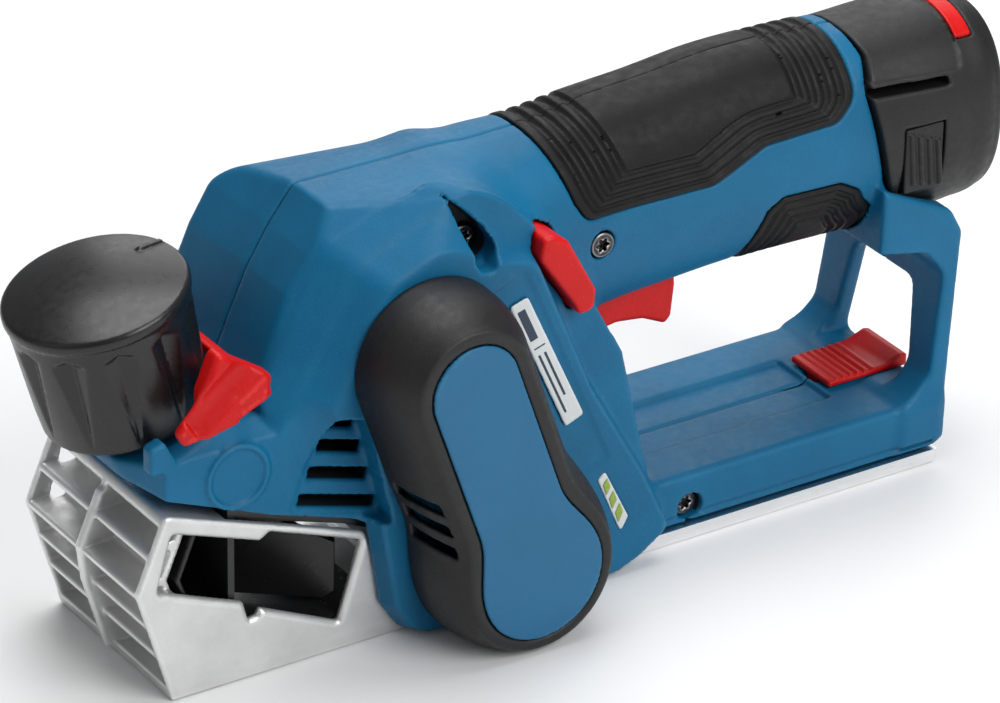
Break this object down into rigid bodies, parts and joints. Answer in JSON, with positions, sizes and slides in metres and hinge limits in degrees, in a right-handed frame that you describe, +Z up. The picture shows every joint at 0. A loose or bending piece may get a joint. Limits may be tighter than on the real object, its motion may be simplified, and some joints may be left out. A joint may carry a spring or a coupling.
{
  "type": "electric hand planer",
  "caption": "Compact battery hand planer: belt-driven cutter drum, adjustable front shoe with depth knob, bow handle with trigger, stick battery.",
  "frame": {"origin": "underside of the rear sole, in the housing's parting plane", "axes": "+Z up, -X towards the front shoe and the depth knob, +X towards the battery, -Y the drive-belt side"},
  "size_m": [0.307, 0.0978, 0.134],
  "materials": {
    "blue_plastic": "fine spark-eroded texture, satin",
    "black_plastic": "fine texture, satin",
    "black_rubber": "soft overmould, matt",
    "red_plastic": "semi-gloss",
    "cast_aluminium": "die cast, milled sole",
    "steel": "ground",
    "black_steel": "blackened",
    "label_film": "printed film, satin",
    "gauge_film": "printed light window, satin",
    "copper": "enamelled winding on a steel stack"
  },
  "bodies": {
    "housing": {"battery_terminal": "black_plastic", "belt_cover": "black_plastic", "charge_indicator": "gauge_film", "chip_chute": "black_plastic", "control_module": "black_plastic", "cover_inlay": "blue_plastic", "drive_belt": "black_rubber", "drum_bearing_left": "steel", "drum_bearing_right": "steel", "grip_left": "black_rubber", "grip_right": "black_rubber", "housing_left": "blue_plastic", "housing_right": "blue_plastic", "housing_screw_1": "black_steel", "housing_screw_2": "black_steel", "housing_screw_3": "black_steel", "lower_pad_left": "black_rubber", "lower_pad_right": "black_rubber", "motor_bearing_left": "steel", "motor_bearing_right": "steel", "motor_label": "label_film", "motor_stator": "copper", "rear_sole": "cast_aluminium", "sole_screw_1": "black_steel", "sole_screw_2": "black_steel", "sole_screw_3": "black_steel", "switch_body": "black_plastic"},
    "knob": {"depth_knob": "black_plastic", "knob_spindle": "steel"},
    "shoe": {"front_shoe": "cast_aluminium"},
    "chip_lever": {"chip_lever": "red_plastic"},
    "deflector": {"chip_deflector": "black_plastic"},
    "lock_off": {"lock_off_button": "red_plastic"},
    "trigger": {"trigger": "red_plastic"},
    "battery": {"battery_case": "black_plastic", "battery_stripe": "red_plastic"},
    "release_left": {"release_tab_left": "black_plastic"},
    "release_right": {"release_tab_right": "black_plastic"},
    "key_store": {"key_holder": "red_plastic", "hex_key": "steel"},
    "rotor": {"motor_shaft": "steel", "rotor_magnet": "steel", "cooling_fan": "black_plastic", "drive_pulley": "steel"},
    "cutter": {"drum": "cast_aluminium", "drum_shaft": "steel", "planer_blade": "steel", "blade_clamp": "steel", "driven_pulley": "steel"}
  },
  "joints": [
    {"name": "depth_knob_turn", "type": "hinge", "parent": "housing", "child": "knob", "pos_m": [-0.1692, 0, 0.0626], "axis": [-0.227, 0, 0.9739], "range_deg": [0, 300]},
    {"name": "front_shoe_slide", "type": "slide", "parent": "housing", "child": "shoe", "axis": [-0.227, 0, 0.9739], "range_m": [0, 0.00205]},
    {"name": "chip_lever_slide", "type": "slide", "parent": "housing", "child": "chip_lever", "axis": [0, 1, 0], "range_m": [0, 0.0045]},
    {"name": "deflector_swing", "type": "hinge", "parent": "housing", "child": "deflector", "pos_m": [-0.1505, 0, 0.027], "axis": [0, 0, 1], "range_deg": [0, 76.1]},
    {"name": "lock_off_slide", "type": "slide", "parent": "housing", "child": "lock_off", "axis": [0, 1, 0], "range_m": [-0.003, 0.003], "stiffness_N_per_m": 300},
    {"name": "trigger_squeeze", "type": "hinge", "parent": "housing", "child": "trigger", "pos_m": [-0.0305, 0, 0.066], "axis": [0, -1, 0], "range_deg": [0, 8], "stiffness_Nm_per_rad": 0.6, "springref_deg": -2.86},
    {"name": "battery_slide", "type": "slide", "parent": "housing", "child": "battery", "axis": [1, 0, 0], "range_m": [0, 0.095]},
    {"name": "release_left_press", "type": "slide", "parent": "battery", "child": "release_left", "axis": [0, 1, 0], "range_m": [0, 0.0012], "stiffness_N_per_m": 900},
    {"name": "release_right_press", "type": "slide", "parent": "battery", "child": "release_right", "axis": [0, -1, 0], "range_m": [0, 0.0012], "stiffness_N_per_m": 900},
    {"name": "key_holder_slide", "type": "slide", "parent": "housing", "child": "key_store", "axis": [1, 0, 0], "range_m": [0, 0.06]},
    {"name": "drum_spin", "type": "hinge", "parent": "housing", "child": "cutter", "pos_m": [-0.0782, 0, 0.024], "axis": [0, 1, 0], "continuous": true},
    {"name": "motor_spin", "type": "hinge", "parent": "housing", "child": "rotor", "pos_m": [-0.1005, 0, 0.087], "axis": [0, 1, 0], "continuous": true}
  ],
  "couplings": [
    {"joint": "front_shoe_slide", "follows": "depth_knob_turn", "m_per_rad": 0.00039152},
    {"joint": "deflector_swing", "follows": "chip_lever_slide", "rad_per_m": 294.77},
    {"joint": "motor_spin", "follows": "drum_spin", "ratio": 2}
  ]
}
